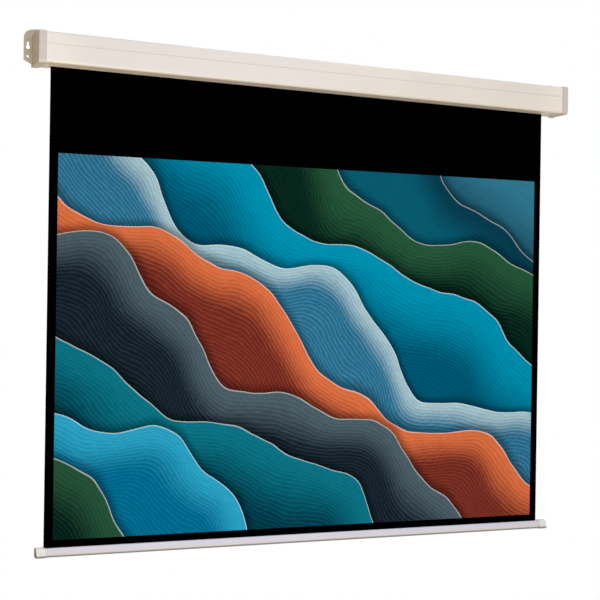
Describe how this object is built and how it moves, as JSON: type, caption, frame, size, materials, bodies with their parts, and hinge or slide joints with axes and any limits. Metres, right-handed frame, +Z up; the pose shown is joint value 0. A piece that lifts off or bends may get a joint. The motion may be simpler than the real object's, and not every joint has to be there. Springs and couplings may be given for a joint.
{
  "type": "pull-down projection screen",
  "caption": "Wall-mounted pull-down projection screen: a sheet with black borders hangs from a spring roller in a long case and ends in a weighted bar.",
  "frame": {"origin": "middle of the case's back face, which lies against the wall", "axes": "+X along the roller to the viewer's right, +Y into the wall, so the screen faces -Y, and +Z up"},
  "size_m": [1.6952, 0.0803, 1.3868],
  "materials": {
    "case_paint": "warm white powder coat, satin",
    "cap_plastic": "moulded, matt, slightly greyer than the case",
    "bracket_paint": "beige paint on steel plate, satin",
    "sheet_fabric": "matt coated fabric, black borders round a printed viewing area",
    "bar_paint": "satin silver-white coat on aluminium",
    "bar_cap_plastic": "moulded, cream",
    "zinc_steel": "bright zinc",
    "steel": "machined",
    "spring_steel": "dark, oiled",
    "black_nylon": "moulded, matt",
    "white_nylon": "moulded, waxy"
  },
  "bodies": {
    "housing": {"housing_case": "case_paint", "end_cap_left": "cap_plastic", "end_cap_right": "cap_plastic", "end_bracket_left": "bracket_paint", "end_bracket_right": "bracket_paint", "cap_screw_left_top_front": "zinc_steel", "cap_screw_left_top_rear": "zinc_steel", "cap_screw_left_bottom_front": "zinc_steel", "cap_screw_right_top_front": "zinc_steel", "cap_screw_right_top_rear": "zinc_steel", "cap_screw_right_bottom_front": "zinc_steel", "bracket_screw_left_upper": "zinc_steel", "bracket_screw_left_lower": "zinc_steel", "bracket_screw_right_upper": "zinc_steel", "bracket_screw_right_lower": "zinc_steel", "idler_pin": "steel", "idler_clip": "spring_steel", "spring_arbor": "steel", "arbor_clip": "spring_steel", "arbor_spacer": "zinc_steel", "spring_collar": "zinc_steel", "torsion_spring": "spring_steel", "lock_ratchet": "steel", "screen_sheet": "sheet_fabric"},
    "roller": {"roller_tube": "zinc_steel", "roller_head": "black_nylon", "idler_plug": "black_nylon", "idler_bush": "white_nylon", "arbor_bearing": "black_nylon", "sheet_turns": "sheet_fabric", "pawl_pin_upper": "steel", "pawl_pin_lower": "steel"},
    "lock_pawl_upper": {"lock_pawl_upper": "steel"},
    "lock_pawl_lower": {"lock_pawl_lower": "steel"},
    "bottom_bar": {"bar_profile": "bar_paint", "bar_cap_left": "bar_cap_plastic", "bar_cap_right": "bar_cap_plastic", "weight_rod": "steel", "sheet_spline": "white_nylon"}
  },
  "joints": [
    {"name": "screen_travel", "type": "slide", "parent": "housing", "child": "bottom_bar", "axis": [0, 0, 1], "range_m": [0, 1.26], "deforming": ["screen_sheet"]},
    {"name": "roller_spin", "type": "hinge", "parent": "housing", "child": "roller", "pos_m": [0, -0.0498, 0.001], "axis": [1, 0, 0], "range_deg": [0, 3060]},
    {"name": "upper_pawl_swing", "type": "hinge", "parent": "roller", "child": "lock_pawl_upper", "pos_m": [0.7729, -0.0498, 0.0155], "axis": [-1, 0, 0], "range_deg": [-16.2, 0]},
    {"name": "lower_pawl_swing", "type": "hinge", "parent": "roller", "child": "lock_pawl_lower", "pos_m": [0.7729, -0.0498, -0.0135], "axis": [-1, 0, 0], "range_deg": [-16.2, 0]}
  ],
  "couplings": [
    {"joint": "roller_spin", "follows": "screen_travel", "rad_per_m": 42.386}
  ]
}
